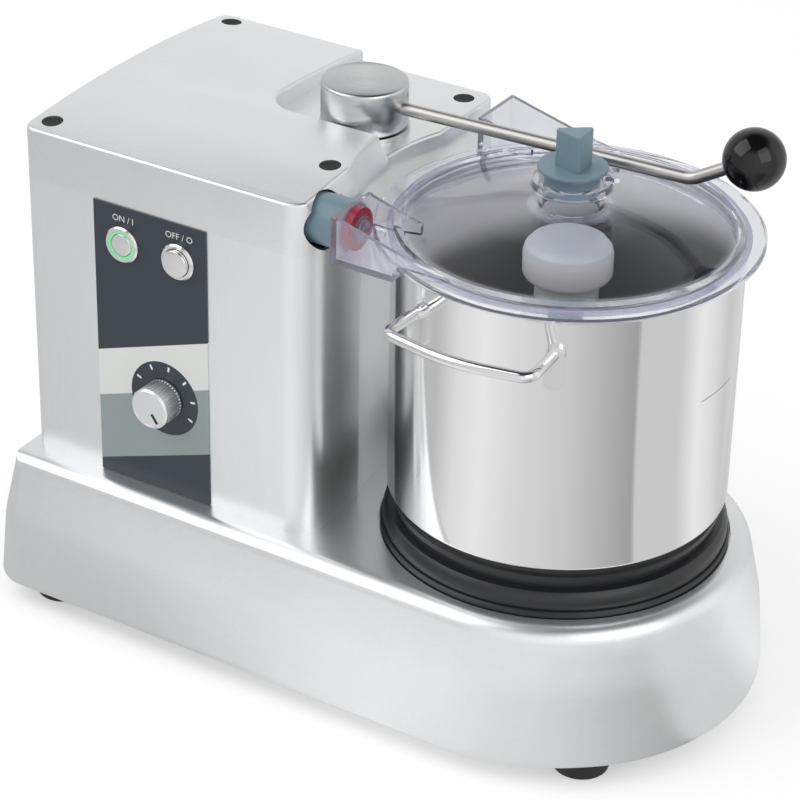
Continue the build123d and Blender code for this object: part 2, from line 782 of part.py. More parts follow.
def handle(side):
    """Bent wire handle; side is -1 at the front and 1 at the back."""
    def spot(x, y, z=handle_z):
        return (bowl_x - side * x, side * y, z)
    root = sqrt(bowl_r ** 2 - (handle_half - 2) ** 2)
    bar = handle_out - handle_bow
    corner_y = bar - handle_corner * 0.4
    half = handle_half
    arc_in = half - handle_corner
    pts = [spot(half - 2, root), spot(half, corner_y - 6), spot(half - 3.5, bar - 1)]
    left = Line(pts[0], pts[1])
    bend_a = Spline(pts[1], spot(half - 4, bar - 0.5), spot(arc_in, bar + 3.0),
                    tangents=[tuple(b - a for a, b in zip(pts[0], pts[1])), direction(side, 0.32)])
    bow = ThreePointArc(spot(arc_in, bar + 3.0), spot(0, handle_out), spot(-arc_in, bar + 3.0))
    end_in = spot(-half, corner_y - 6)
    bend_b = Spline(spot(-arc_in, bar + 3.0), spot(-half + 4, bar - 0.5), end_in,
                    tangents=[direction(side, -0.32), (side * 0.04, -side, 0)])
    right = Line(end_in, spot(-half + 2, root))
    path = Wire([left, bend_a, bow, bend_b, right])
    start = Plane(origin=pts[0], z_dir=tuple(b - a for a, b in zip(pts[0], pts[1])))
    return sweep(start * Circle(handle_rod), path=path)


def direction(side, slope):
    """Direction of the grip where it meets a bend."""
    return (side, side * slope, 0)


def weld_pad(angle):
    """Rounded plate welded to the bowl wall, its top at the handle wire."""
    z1 = handle_z + handle_rod
    block = Pos(bowl_r + pad_t / 2, 0, z1 - pad_h / 2) * Box(pad_t + 2, pad_w, pad_h)
    block = fillet(block.edges().filter_by(Axis.X), 5.5)
    block = Pos(bowl_x, 0, 0) * Rot(0, 0, angle) * block
    return block - rod(bowl_r, 200, 400, bowl_x)


# ---- lid ----------------------------------------------------------------------------------------

def lid_disc():
    """Round lid: flat rim, raised bead, gently domed window, neck with its collar."""
    r, z0, z1 = lid_r, lid_z, lid_z + lid_rim
    top_edge = [(r - 1.5, z0), (r, z0 + 1.5), (r, z1 - 1.5), (r - 1.5, z1), (window_r + bead_w, z1)]
    bead = [(window_r + bead_w - 1, bead_top), (window_r + 1, bead_top), (window_r - 1, bead_top - 2)]
    dome = [(80, dome_top - 10), (50, dome_top - 3.8), (neck_r, dome_top)]
    neck = [(neck_r, collar_z0), (collar_r - 1, collar_z0), (collar_r, collar_z0 + 1)]
    neck += [(collar_r, collar_z1 - 1), (collar_r - 1, collar_z1), (neck_r, collar_z1)]
    neck += [(neck_r, neck_top), (neck_in, neck_top), (neck_in, dome_top - sheet)]
    under = [(50, dome_top - 3.8 - sheet), (80, dome_top - 10 - sheet), (window_r - 1, bead_top - 3 - sheet)]
    spigot = [(window_r - 1, z0 - 8), (window_r + 3, z0 - 8), (window_r + 3, z0)]
    return turned(top_edge + bead + dome + neck + under + spigot)


def ear_plate(points, y0, y1):
    """Upright plate in the XZ plane between two Y values."""
    face = make_face(Polyline(*[(x, z) for x, z in points], close=True))
    return Pos(0, y1, 0) * Rot(90, 0, 0) * extrude(face, y1 - y0)


def front_ear():
    """Open-topped box beside the rim that meets the sensor on the column."""
    x0, z0, z1 = ear_face_x, ear_z0, ear_z1
    rim_top = lid_z + lid_rim
    outer = [(x0, z0), (ear_end_x, z0), (ear_end_x, lid_z), (88, lid_z + 1), (88, rim_top + 0.5)]
    outer += [(60, rim_top + 6.5), (30, rim_top + 14.0), (x0 + 2, z1), (x0, z1)]
    body = ear_plate(outer, -ear_y1, -ear_y1 + ear_wall)
    inner = [(x0, z0), (44.5, z0), (44.5, rim_top + 9), (x0, z1)]
    body += ear_plate(inner, -ear_y0 - ear_wall, -ear_y0)
    body += box(x0, x0 + ear_wall, -ear_y1, -ear_y0, z0, z1)
    body += box(x0, ear_end_x, -ear_y1, -ear_y0, z0, z0 + ear_wall)
    return body - rod(bowl_r + 3.5, z0 - 1, lid_z, bowl_x)


def lift_lip():
    """Low raised lip on the back of the rim for the fingers."""
    ring = tube(lid_r - 0.3, lid_r - 5, lid_z + 2, lid_z + lid_rim + 7) & wedge(13, 200)
    ring = Pos(bowl_x, 0, 0) * Rot(0, 0, 84) * ring
    ramp = Pos(bowl_x, 0, lid_z + lid_rim) * Rot(0, 0, 84) * (Pos(lid_r, 28, 0) * Rot(7.0, 0, 0))
    return ring - ramp * Pos(0, 0, 20) * Box(60, 160, 40)


def lid():
    """Clear lid with both ears, bayonet tab and lift lip."""
    ears = front_ear()
    ears += mirror(front_ear(), Plane.XZ)
    ears -= rod(window_r + 2, ear_z0 - 1, lid_z + lid_rim, bowl_x)
    tab = Pos(bowl_x, 0, 0) * Rot(0, 0, 31) * box(neck_r - 1, 28.5, -4, 4, collar_z1 - 1, neck_top - 1)
    return lid_disc() + ears + tab + lift_lip()


def lid_seal():
    """Soft ring under the rim, outside the spigot."""
    return tube(bowl_r + 2.5, bowl_r - 1, lid_z - 1.6, lid_z, bowl_x)


def magnet_ring():
    """Ring magnet in the front ear."""
    x = ear_face_x + ear_wall
    return x_rod(magnet_r, x, x + 5, boss_y - 5, boss_z + 3, magnet_in)


def ear_screw():
    """Clear plastic screw through the magnet."""
    x = ear_face_x + ear_wall
    body = x_rod(magnet_in - 0.5, x, x + 9, boss_y - 5, boss_z + 3)
    body += x_rod(8.5, x + 5, x + 8, boss_y - 5, boss_z + 3)
    return body - box(x + 7, x + 10, boss_y - 12, boss_y + 2, boss_z + 2.2, boss_z + 3.8)


def sensor_boss():
    """Round plastic sensor that looks at the ear's magnet."""
    body = x_rod(boss_r, boss_x0, ear_face_x - 0.6, boss_y, boss_z)
    return fillet(body.edges().group_by(Axis.X)[-1], 1.5)


def feed_plug():
    """Feed plug: hollow stem, disc and three-sided grip."""
    body = rod(stem_r, stem_z, disc_z, bowl_x)
    body -= rod(stem_r - 2.5, stem_z - 1, disc_z - 2, bowl_x)
    disc = rod(disc_r, disc_z, disc_z + disc_h, bowl_x)
    disc = fillet(disc.edges().group_by(Axis.Z)[-1], 0.8)
    return body + disc + plug_grip()


def plug_grip():
    """Upright three-sided grip with rounded corners."""
    corners = Polyline((-12.5, -5.5), (9.5, -11.5), (8.5, 10.5), close=True)
    face = fillet(make_face(corners).vertices(), 2.0)
    body = Pos(bowl_x + 0.5, 0, disc_z + disc_h) * extrude(face, grip_top - disc_z - disc_h)
    return fillet(body.edges().group_by(Axis.Z)[-1], 0.9)


def plug_seal():
    """Sealing ring in the plug's stem."""
    return tube(stem_r + 0.1, stem_r, stem_z + 3, stem_z + 5, bowl_x)


# ---- assembly -----------------------------------------------------------------------------------

def build_base():
    """Nodes of the base."""
    keep("base_casting", base_casting())
    keep("base_cover", base_cover())
    keep("rubber_feet", [rubber_foot(x, y) for x, y in foot_spots()])
    keep("foot_screws", [foot_screw(x, y) for x, y in foot_spots()])
    keep("bowl_seat", bowl_seat())


def build_column():
    """Nodes of the column."""
    keep("housing_shell", housing_shell())
    keep("top_cap", top_cap())
    spots = [(x, y, crown_height(y)) for x, y in plug_spots]
    spots.append((low_plug_spot[0], low_plug_spot[1], well_z))
    keep("cap_plugs", [cap_plug(x, y, z) for x, y, z in spots])
    seats = [(x, y, well_z) for x, y in plug_spots]
    seats.append((low_plug_spot[0], low_plug_spot[1], well_z - 9))
    keep("cap_screws", [cap_screw(x, y, z) for x, y, z in seats])
    keep("tie_rods", [tie_rod(x, y, z - 12) for x, y, z in seats])
    keep("sensor_boss", sensor_boss())
    keep("cable_gland", cable_gland())


def build_controls():
    """Nodes of the control panel."""
    keep("control_panel", control_panel())
    keep("on_bezel", bezel(on_x, ring_r))
    keep("on_light_ring", y_rod(ring_r, panel_y - bezel_h + 0.4, col_front, on_x, button_z, cap_r + move_gap))
    keep("on_cap", button_cap(on_x, cap_r, -0.2))
    keep("off_bezel", bezel(off_x, off_cap_r + move_gap))
    keep("off_cap", button_cap(off_x, off_cap_r, 3.0))
    keep("contact_blocks", [contact_block(on_x), contact_block(off_x)])
    keep("speed_knob", speed_knob())
    keep("knob_pointer", pointer_bar())
    keep("speed_pot_body", pot_body())
    keep("speed_pot_shaft", pot_shaft())


def build_lever():
    """Nodes of the lever and its safety switch."""
    keep("lever_hub", lever_hub())
    keep("hub_flange", tube(flange_r, 12.0, well_z, well_z + flange_h, hub_x, hub_y))
    keep("lever_arm", arm_path_solid(arm_r))
    keep("ball_knob", ball_knob())
    keep("lever_shaft", rod(lever_shaft_r, cam_z - 4, hub_top - 6, hub_x, hub_y))
    keep("lever_bush", lever_bush())
    keep("safety_cam", safety_cam())
    keep("safety_switch", safety_switch())
    keep("switch_bracket", switch_bracket())


def build_drive():
    """Nodes of the motor, belt and spindle."""
    keep("motor_body", motor_body())
    keep("motor_plate", motor_plate())
    bolts = [(motor_x + a * 60, motor_y + b * 55) for a in (-1, 1) for b in (-1, 1)]
    keep("plate_bolts", [plate_bolt(x, y) for x, y in bolts])
    keep("motor_shaft", rod(motor_shaft_r, pulley_z - 2, motor_end_z - 6, motor_x, motor_y))
    keep("motor_pulley", pulley(small_pulley_r, motor_x, motor_y, motor_shaft_r, 15))
    keep("driven_pulley", pulley(big_pulley_r, bowl_x, 0.0, shaft_r, 15))
    keep("drive_belt", belt_loop())
    keep("spindle_housing", spindle_housing())
    keep("spindle_bearings", bearings())
    keep("spindle_bolts", spindle_bolts())
    keep("drive_shaft", drive_shaft())
    keep("control_board", control_board())
    keep("speed_drive", drive_unit())


def build_bowl():
    """Nodes of the bowl, rotor and lid."""
    keep("bowl", bowl())
    keep("bowl_tube", bowl_tube())
    keep("bayonet_skirt", bayonet_skirt())
    pads = [weld_pad(a) for a in (-115.4, -64.6, 64.6, 115.4)]
    keep("handle_pads", pads)
    wires = [handle(-1), handle(1)]
    for pad in pads:
        wires = [w - pad for w in wires]
    keep("front_handle", wires[0] - rod(bowl_r, 200, 400, bowl_x))
    keep("back_handle", wires[1] - rod(bowl_r, 200, 400, bowl_x))
    keep("rotor_hub", rotor_hub())
    keep("lower_blade", blade(rotor_z + 1, 20))
    keep("upper_blade", blade(rotor_z + 25, 110))
    keep("lid", lid())
    keep("lid_seal", lid_seal())
    keep("magnet_ring", magnet_ring())
    keep("ear_screw", ear_screw())
    keep("feed_plug", feed_plug())


build_base()
build_column()
build_controls()
build_lever()
build_drive()
build_bowl()

for name, shape in nodes.items():
    export_step(shape, f"parts/{name}.step")
print(len(nodes), "nodes")
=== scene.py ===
"""Looks of the bowl cutter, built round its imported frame."""
import json
import math

import bpy
from mathutils import Matrix, Vector

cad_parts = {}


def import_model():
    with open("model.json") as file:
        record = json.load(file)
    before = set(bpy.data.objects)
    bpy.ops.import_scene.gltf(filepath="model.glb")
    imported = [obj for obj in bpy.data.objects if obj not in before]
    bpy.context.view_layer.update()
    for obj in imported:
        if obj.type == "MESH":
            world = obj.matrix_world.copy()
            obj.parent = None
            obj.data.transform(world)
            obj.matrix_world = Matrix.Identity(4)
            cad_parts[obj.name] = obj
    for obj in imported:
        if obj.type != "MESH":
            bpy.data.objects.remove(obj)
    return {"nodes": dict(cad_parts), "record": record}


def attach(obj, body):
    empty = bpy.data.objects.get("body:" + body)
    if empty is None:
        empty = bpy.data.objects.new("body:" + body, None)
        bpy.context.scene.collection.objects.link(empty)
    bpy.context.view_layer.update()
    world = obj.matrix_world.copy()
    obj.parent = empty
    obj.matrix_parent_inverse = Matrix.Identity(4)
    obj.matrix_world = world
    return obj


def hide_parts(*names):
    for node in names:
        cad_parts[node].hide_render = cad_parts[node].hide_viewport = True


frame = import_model()
bpy.ops.object.select_all(action="DESELECT")
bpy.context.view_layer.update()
record = frame["record"]
node_body = {n: b for b, members in record["behaviour"]["bodies"].items() for n in members}
node_slot = {p["node"]: p["material_slot"] for p in record["subparts"]}

MM = 0.001

# Shared places, in metres.
BOWL_X = 0.110                      # upright axis of bowl, lid and rotor, at y 0
HUB_X, HUB_Y = -0.058, 0.028        # upright axis of the lever hub
KNOB_X, KNOB_Z = -0.122, 0.180      # axis of the speed knob
PANEL_Y = -0.1085                   # front face of the control panel

# Shapes, in mm.
BOWL_R, BOWL_WALL, BOWL_LOW, BOWL_TOP = 110, 1.5, 141, 319
TUBE_R, TUBE_TOP = 15.5, 225        # tube in the middle of the bowl
HANDLE_Z, HANDLE_WIRE = 295, 3.6    # height and half thickness of the handle wire
HUB_R, HUB_LOW, HUB_TOP = 28.5, 341.4, 371.5
BAR_Z, BAR_R = 357, 4.2             # height and half thickness of the lever bar
BAR_BEND = 171.2                    # x where the bar turns up to the ball
BAR_SLOPE = 0.055                   # how far the bar leads back on its way to the right
BALL_X, BALL_Z, BALL_R = 210.4, 379.6, 19.5

# Lights and camera.
KEY_POWER, FILL_POWER = 30, 9
ROOM_TURN = 0.6635                  # where the room's ring of tones begins, in turns
TO_VIEWER = (0.517, -0.856)         # level direction from the object to the camera
CAMERA_PLACE = (0.86996, -1.44833, 1.1361)


# ---- shader expressions -------------------------------------------------------------------------

class Value:
    """One socket of a material, with arithmetic that adds Math nodes."""

    def __init__(self, paint, socket):
        self.paint, self.socket = paint, socket

    def _math(self, operation, first, second=None):
        values = {0: first} if second is None else {0: first, 1: second}
        return self.paint.node("ShaderNodeMath", {"operation": operation}, values)

    def __add__(self, other):
        return self._math("ADD", self, other)

    __radd__ = __add__

    def __mul__(self, other):
        return self._math("MULTIPLY", self, other)

    __rmul__ = __mul__

    def __sub__(self, other):
        return self._math("SUBTRACT", self, other)

    def __rsub__(self, other):
        return self._math("SUBTRACT", other, self)

    def __truediv__(self, other):
        return self._math("DIVIDE", self, other)

    def __abs__(self):
        return self._math("ABSOLUTE", self)

    def most(self, other):
        return self._math("MAXIMUM", self, other)

    def sine(self):
        return self._math("SINE", self)

    def root(self):
        return self._math("SQRT", self)

    def fraction(self):
        return self._math("FRACT", self)

    def angle(self, other):
        """Angle of the direction (other, self), in radians."""
        return self._math("ARCTAN2", self, other)

    def step(self, low, high):
        """0 below low, 1 above high, soft between."""
        return self.paint.node("ShaderNodeMapRange", {"interpolation_type": "SMOOTHSTEP"},
                               {0: self, 1: low, 2: high, 3: 0.0, 4: 1.0})

    def near(self, centre, half, soft):
        """1 within half of centre, soft at the edge."""
        return 1 - abs(self - centre).step(half - soft / 2, half + soft / 2)


class Paint:
    """A node tree being built."""

    def __init__(self, name, owner=None):
        self.owner = owner or bpy.data.materials.new(name)
        self.owner.use_nodes = True
        self.tree = self.owner.node_tree
        self.tree.nodes.clear()
        self.place = None

    def node(self, kind, settings=None, values=None, out=0):
        """Adds a node of that kind, sets it up, and returns one of its outputs."""
        node = self.tree.nodes.new(kind)
        for key, value in (settings or {}).items():
            if key == "stops":
                self._stops(node.color_ramp, value)
            else:
                setattr(node, key, value)
        for key, value in (values or {}).items():
            if isinstance(value, Value):
                self.tree.links.new(value.socket, node.inputs[key])
            else:
                node.inputs[key].default_value = value
        return Value(self, node.outputs[out])

    @staticmethod
    def _stops(ramp, stops):
        while len(ramp.elements) < len(stops):
            ramp.elements.new(1.0)
        for element, (position, grey) in zip(ramp.elements, stops):
            element.position = position
            element.color = (grey, grey, grey, 1.0)

    def spot(self):
        """Place on the object, in metres."""
        if self.place is None:
            self.place = self.node("ShaderNodeTexCoord", out=3)
        return self.place

    def axes(self):
        """X, Y and Z of the place."""
        split = self.tree.nodes.new("ShaderNodeSeparateXYZ")
        self.tree.links.new(self.spot().socket, split.inputs[0])
        return [Value(self, s) for s in split.outputs]

    def stretched(self, scale):
        return self.node("ShaderNodeMapping", {}, {0: self.spot(), 3: scale})

    def noise(self, scale, detail=3.0, stretch=(1.0, 1.0, 1.0)):
        return self.node("ShaderNodeTexNoise", {},
                         {"Vector": self.stretched(stretch), "Scale": scale, "Detail": detail})

    def ramp(self, stops, place):
        """Grey tones between the given stops of (position, brightness)."""
        return self.node("ShaderNodeValToRGB", {"stops": stops}, {0: place})

    def mix(self, share, first, second):
        """First colour where share is 0, second where it is 1."""
        return self.node("ShaderNodeMix", {"data_type": "RGBA"}, {0: share, 6: first, 7: second}, 2)

    def grain(self, height, strength, distance):
        return self.node("ShaderNodeBump", {}, {"Height": height, "Strength": strength,
                                                "Distance": distance})

    def shader(self, kind, **inputs):
        """A shader of that kind, with the named inputs set or linked."""
        return self.node(kind, {}, {k.replace("_", " "): v for k, v in inputs.items()})

    def blend(self, share, first, second):
        """First shader where share is 0, second where it is 1."""
        return self.node("ShaderNodeMixShader", {}, {0: share, 1: first, 2: second})

    def finish(self, **inputs):
        """Closes a surface with one Principled shader."""
        return self.close(self.shader("ShaderNodeBsdfPrincipled", **inputs))

    def close(self, shader, kind="ShaderNodeOutputMaterial"):
        """Ends the tree with that shader and returns what the tree belongs to."""
        end = self.tree.nodes.new(kind)
        self.tree.links.new(shader.socket, end.inputs[0])
        return self.owner

    def rays(self, *kinds):
        """1 for any of these kinds of ray."""
        path = self.node("ShaderNodeLightPath").socket.node.outputs
        share = Value(self, path[kinds[0]])
        for kind in kinds[1:]:
            share = share.most(Value(self, path[kind]))
        return share


def distance(across, along):
    return (across * across + along * along).root()


def rgba(red, green=None, blue=None):
    """A colour from 0-255 screen values, made linear; one value alone is a grey."""
    levels = [v / 255 for v in ((red, red, red) if green is None else (red, green, blue))]
    return (*[v / 12.92 if v <= 0.04045 else ((v + 0.055) / 1.055) ** 2.4 for v in levels], 1.0)


# ---- materials ----------------------------------------------------------------------------------


def satin_cast():
    """Polished and blasted aluminium casting: very fine grain, soft clouds."""
    p = Paint("satin_cast")
    cloud = p.noise(9, 3)
    fleck = p.noise(420, 3)
    level = cloud * 0.7 + fleck * 0.3
    colour = p.mix(level.step(0.3, 0.7), rgba(236, 237, 238), rgba(243, 244, 245))
    return p.finish(Base_Color=colour, Metallic=0.93, Roughness=0.28 + 0.08 * level,
                    Normal=p.grain(fleck, 0.03, 0.0002))


def brushed_sheet():
    """Sheet steel brushed upright, so finely that it reads as satin."""
    p = Paint("brushed_sheet")
    lines = p.noise(1500, 3, stretch=(1.0, 1.0, 0.02))
    cloud = p.noise(5, 3)
    level = lines * 0.4 + cloud * 0.6
    colour = p.mix(level.step(0.3, 0.7), rgba(240, 241, 242), rgba(246, 247, 248))
    return p.finish(Base_Color=colour, Metallic=0.87, Roughness=0.31 + 0.08 * level,
                    Normal=p.grain(lines, 0.02, 0.0002))


def turned_steel():
    """Lathe-turned steel: fine rings about the lever hub."""
    p = Paint("turned_steel")
    x, y, z = p.axes()
    around = p.node("ShaderNodeCombineXYZ", {}, {0: distance(x - HUB_X, y - HUB_Y), 2: z})
    rings = p.node("ShaderNodeTexNoise", {}, {"Vector": around, "Scale": 2600.0, "Detail": 2.0})
    level = rings.step(0.3, 0.7)
    return p.finish(Base_Color=p.mix(level, rgba(196, 197, 198), rgba(214, 215, 216)), Metallic=1.0,
                    Roughness=0.20 + 0.05 * level, Anisotropic=0.8,
                    Normal=p.grain(rings, 0.015, 0.0002))


def plain_steel():
    """Ground steel of shafts, screws and plates."""
    p = Paint("plain_steel")
    lines = p.noise(700, 3, stretch=(1.0, 1.0, 0.1))
    return p.finish(Base_Color=p.mix(lines, rgba(190, 191, 193), rgba(212, 213, 215)), Metallic=1.0,
                    Roughness=0.25 + 0.15 * lines, Normal=p.grain(lines, 0.06, 0.0003))


def bright_steel():
    """Mirror-polished steel with hair-fine rings from polishing."""
    p = Paint("bright_steel")
    rings = p.noise(500, 3, stretch=(0.02, 0.02, 1.0))
    cloud = p.noise(9, 3)
    return p.finish(Base_Color=p.mix(cloud, rgba(225), rgba(238)), Metallic=1.0,
                    Roughness=0.08 + 0.03 * rings, Normal=p.grain(rings, 0.02, 0.0002))


def bowl_steel():
    """Mirror outside with an engraved level line; satin inside, with painted shade towards the
    bottom: the dark that the lower inside reflects, put into the colour.
    """
    p = Paint("bowl_steel")
    x, y, z = p.axes()
    dx = x - BOWL_X
    rings = p.noise(500, 3, stretch=(0.02, 0.02, 1.0))
    cloud = p.noise(9, 3)
    within_wall = 1 - distance(dx, y).step(0.1090, 0.1094)
    over_floor = z.step(0.1412, 0.1418)
    under_rim = 1 - z.step(0.3140, 0.3150)
    inside = within_wall * over_floor * under_rim
    tilted = z - 0.16 * dx - 0.092 * y      # the painted shade's edge leans
    painted_shade = inside * (1 - tilted.step(0.262, 0.290))
    line = z.near(0.2445, 0.0003, 0.0003) * y.angle(dx).near(-0.03, 0.17, 0.01) * (1 - inside)
    colour = p.mix(cloud, rgba(233), rgba(238))
    # rgba(24, 33, 40) is painted shade: the dark reflection of the lower inside, put into the
    # colour
    colour = p.mix(painted_shade, colour, rgba(24, 33, 40))
    colour = p.mix(line, colour, rgba(120))
    return p.finish(Base_Color=colour, Metallic=1.0 - inside * (0.8 - 0.4 * painted_shade),
                    Roughness=0.05 + 0.03 * rings + 0.22 * inside + 0.2 * line,
                    Normal=p.grain(rings, 0.02, 0.0002))


def satin_steel():
    """Ground round bar of the lever."""
    p = Paint("satin_steel")
    lines = p.noise(500, 3, stretch=(0.05, 1.0, 1.0))
    return p.finish(Base_Color=p.mix(lines, rgba(186, 184, 181), rgba(206, 204, 201)), Metallic=1.0,
                    Roughness=0.26 + 0.10 * lines, Normal=p.grain(lines, 0.05, 0.0002))


def plastic(name, colour, other, rough, gloss_noise=0.05, bump=0.05, **extra):
    """Moulded plastic or rubber with slight mottling and a fine grain."""
    p = Paint(name)
    mottle = p.noise(45, 3)
    grain = p.noise(1400, 2)
    return p.finish(Base_Color=p.mix(mottle, colour, other), Roughness=rough + gloss_noise * mottle,
                    Normal=p.grain(grain, bump, 0.0002), **extra)


def clear_plastic():
    """Clear moulded plastic: the window is clean, the rim, ears and neck ring are milky violet."""
    p = Paint("clear_plastic")
    x, y, _ = p.axes()
    mottle = p.noise(30, 3)
    wave = p.grain(p.noise(60, 2), 0.04, 0.0004)
    far = distance(x - BOWL_X, y)
    glossy = far.step(0.098, 0.104).most(far.near(0.0225, 0.004, 0.001))
    clear = p.shader("ShaderNodeBsdfPrincipled",
                     Base_Color=p.mix(mottle, (0.95, 0.957, 0.985, 1), (0.97, 0.975, 0.99, 1)),
                     Roughness=0.02 + 0.03 * mottle, IOR=1.30, Transmission_Weight=1.0,
                     Coat_Weight=glossy, Coat_IOR=1.5, Coat_Roughness=0.02, Normal=wave)
    milky = p.shader("ShaderNodeBsdfPrincipled",
                     Base_Color=p.mix(mottle, (0.70, 0.70, 0.90, 1), (0.80, 0.80, 0.95, 1)),
                     Roughness=0.10 + 0.05 * mottle, Normal=wave)
    open_air = p.shader("ShaderNodeBsdfTransparent", Color=(0.93, 0.93, 0.96, 1))
    rim, neck = far.step(0.100, 0.104), far.near(0.0245, 0.0025, 0.001)
    solid = p.blend(0.01 + (rim * 0.07 + neck * 0.10), clear, milky)
    return p.close(p.blend(p.rays("Is Shadow Ray", "Is Diffuse Ray"), solid, open_air))


def frosted():
    """Natural nylon, with painted shade that makes it a little greyer at the top."""
    p = Paint("frosted_white")
    _, _, z = p.axes()
    mottle = p.noise(45, 3)
    low = p.mix(mottle, rgba(216, 215, 213), rgba(226, 225, 223))
    # the blue-grey top is painted shade, not a colour of the nylon
    colour = p.mix(z.step(0.304, 0.317), low, rgba(190, 194, 200))
    return p.finish(Base_Color=colour, Roughness=0.30 + 0.08 * mottle,
                    Normal=p.grain(p.noise(900, 2), 0.05, 0.0002))


def metal_colour(name, low, high, rough, scale=300):
    """Bare metal of another colour, slightly rough."""
    p = Paint(name)
    grain = p.noise(scale, 3)
    return p.finish(Base_Color=p.mix(grain, low, high), Metallic=1.0,
                    Roughness=rough + 0.15 * grain, Normal=p.grain(grain, 0.1, 0.0003))


def panel_print():
    """Printed control panel: slate top, a pale slanting band, grey-green foot, dial scale."""
    p = Paint("panel_print")
    x, _, z = p.axes()
    slate, pale, grey = rgba(48, 56, 65), rgba(220, 222, 220), rgba(146, 156, 156)
    slanting = z - 0.35 * (x + 0.131)
    colour = slate
    for edge, below in ((0.2155, pale), (0.1815, grey), (0.1335, slate)):
        colour = p.mix(1 - slanting.step(edge, edge + 0.0005), colour, below)
    dx, dz = x - KNOB_X, z - KNOB_Z
    far, turn = distance(dx, dz), dx.angle(dz)
    colour = p.mix(1 - far.step(0.0262, 0.0266), colour, slate)
    ticks = (turn * 10.0).sine().step(0.93, 0.97) * far.near(0.0225, 0.0018, 0.0002)
    open_below = 1 - abs(turn).step(2.4, 2.45)
    colour = p.mix(ticks * open_below, colour, rgba(235))
    sheen = p.noise(30, 2)
    return p.finish(Base_Color=colour, Roughness=0.32 + 0.08 * sheen,
                    Normal=p.grain(p.noise(1800, 2), 0.05, 0.0002))


def lit_green():
    """Lit ring of the start button."""
    p = Paint("lit_green")
    glow = p.noise(200, 2)
    colour = p.mix(glow, rgba(120, 205, 145), rgba(150, 222, 170))
    return p.finish(Base_Color=colour, Roughness=0.3, Emission_Color=colour, Emission_Strength=0.2)


materials = {
    "cast_aluminium": satin_cast(),
    "shell_metal": brushed_sheet(),
    "brushed_steel": plain_steel(),
    "turned_steel": turned_steel(),
    "bright_steel": bright_steel(),
    "bowl_steel": bowl_steel(),
    "satin_steel": satin_steel(),
    "black_plastic": plastic("black_gloss", rgba(8), rgba(14), 0.06, 0.02, 0.0),
    "seat_plastic": plastic("seat_plastic", rgba(30, 31, 33), rgba(38, 39, 41), 0.28, 0.1),
    "rubber_black": plastic("foot_rubber", rgba(26), rgba(36), 0.6, 0.15, 0.2),
    "panel_print": panel_print(),
    "light_green": lit_green(),
    "clear_plastic": clear_plastic(),
    "plug_plastic": plastic("plug_plastic", rgba(104, 128, 140), rgba(116, 140, 151), 0.28),
    "red_magnet": plastic("red_magnet", rgba(138, 30, 52), rgba(152, 38, 62), 0.25),
    "white_plastic": frosted(),
    "blade_steel": metal_colour("blade_steel", rgba(178, 180, 184), rgba(206, 208, 211), 0.18, 500),
    "motor_paint": plastic("motor_paint", rgba(58, 64, 72), rgba(66, 72, 80), 0.45, 0.1, 0.15),
    "belt_rubber": plastic("belt_rubber", rgba(22), rgba(32), 0.65, 0.1, 0.2),
    "board_green": plastic("board_green", rgba(20, 82, 48), rgba(28, 96, 58), 0.4),
    "bronze": metal_colour("bronze", rgba(172, 126, 70), rgba(196, 148, 88), 0.3),
    "iron": metal_colour("iron", rgba(96, 98, 102), rgba(122, 124, 128), 0.35),
}
# Nodes that look different from the rest of their slot.
special = {"hub_flange": "turned_steel", "speed_knob": "cast_aluminium"}


# ---- pieces -------------------------------------------------------------------------------------

def dressed(piece, body, slot, material=None):
    """Gives a new piece its body and its material, the slot's own unless another is given."""
    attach(piece, body)
    piece.data.materials.clear()
    piece.data.materials.append(material or materials[slot])
    return piece


def smooth_copy(node, material):
    """A merged copy of a node, shaded smooth, that stands for it."""
    source = frame["nodes"][node]
    piece = source.copy()
    piece.data = source.data.copy()
    piece.name = piece.data.name = node + "_skin"
    for key in list(piece.keys()):
        del piece[key]
    piece.parent = None
    bpy.context.scene.collection.objects.link(piece)
    bpy.context.view_layer.objects.active = piece
    piece.select_set(True)
    bpy.ops.object.mode_set(mode="EDIT")
    bpy.ops.mesh.select_all(action="SELECT")
    bpy.ops.mesh.remove_doubles(threshold=0.000002)
    bpy.ops.object.mode_set(mode="OBJECT")
    bpy.ops.mesh.customdata_custom_splitnormals_clear()
    bpy.ops.object.shade_smooth_by_angle(angle=math.radians(32.0))
    piece.select_set(False)
    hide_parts(node)
    return dressed(piece, node_body[node], node_slot[node], material)


def finished(name):
    """Takes the active object out of edit mode, names it and lays its place into its mesh."""
    piece = bpy.context.object
    if piece.mode == "EDIT":
        bpy.ops.object.mode_set(mode="OBJECT")
    piece.name = piece.data.name = name
    bpy.ops.object.transform_apply(location=True, rotation=True, scale=True)
    return piece


def rounded(piece, width):
    """Rounds the sharp edges to that width in mm and shades the piece smooth."""
    if width:
        edge = piece.modifiers.new("edge", "BEVEL")
        edge.width, edge.segments = width * MM, 3
        edge.limit_method, edge.angle_limit = "ANGLE", math.radians(30.0)
        bpy.ops.object.modifier_apply(modifier="edge")
    bpy.ops.object.shade_smooth_by_angle(angle=math.radians(35.0))
    piece.select_set(False)
    return piece


